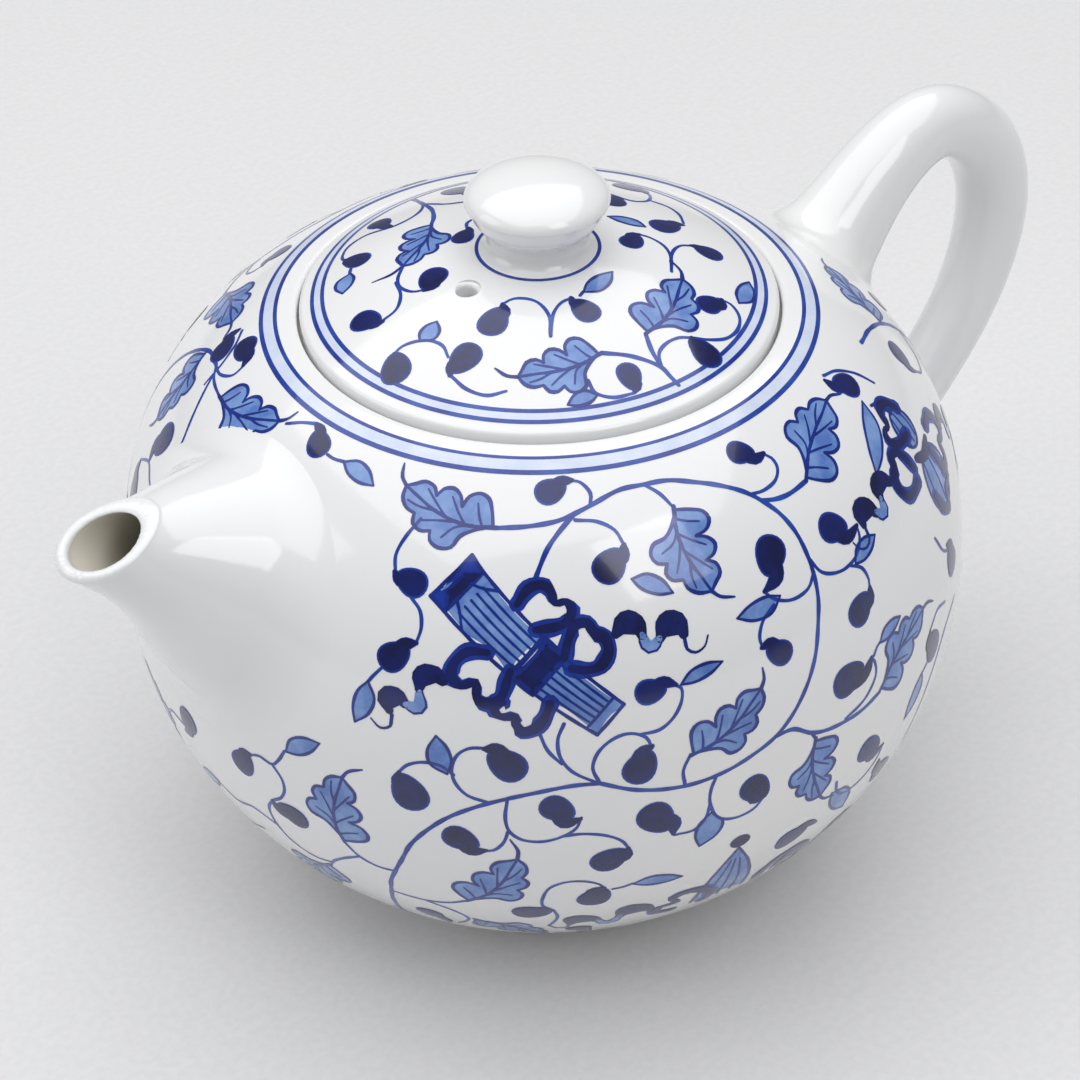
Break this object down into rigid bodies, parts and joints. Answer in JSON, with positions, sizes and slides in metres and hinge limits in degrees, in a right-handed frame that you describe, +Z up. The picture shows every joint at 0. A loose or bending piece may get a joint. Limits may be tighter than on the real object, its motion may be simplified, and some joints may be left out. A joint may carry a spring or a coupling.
{
  "type": "porcelain teapot",
  "caption": "Round porcelain teapot with a short spout, a loop handle, a pierced strainer and a lift-off domed lid with a button knob, painted in blue under a clear glaze.",
  "frame": {"origin": "centre of the foot ring, on the plane that the pot stands on", "axes": "+Z up, +X towards the spout (the pouring direction), handle on the -X side"},
  "size_m": [0.147, 0.1022, 0.093],
  "materials": {
    "glazed_porcelain": "clear glossy glaze over white porcelain",
    "bare_porcelain": "unglazed: ground smooth where the pot stands, and left bare where the lid sits",
    "cobalt_underglaze": "cobalt blue painting under the clear glaze"
  },
  "bodies": {
    "pot": {"body_shell": "glazed_porcelain", "foot_ring": "bare_porcelain", "lid_seat": "bare_porcelain", "spout": "glazed_porcelain", "spout_strainer": "glazed_porcelain", "handle": "glazed_porcelain"},
    "lid": {"lid_dome": "glazed_porcelain", "lid_flange": "bare_porcelain", "knob": "glazed_porcelain"}
  },
  "joints": [
    {"name": "lid_lift", "type": "slide", "parent": "pot", "child": "lid", "axis": [0, 0, 1], "range_m": [0, 0.06]}
  ]
}
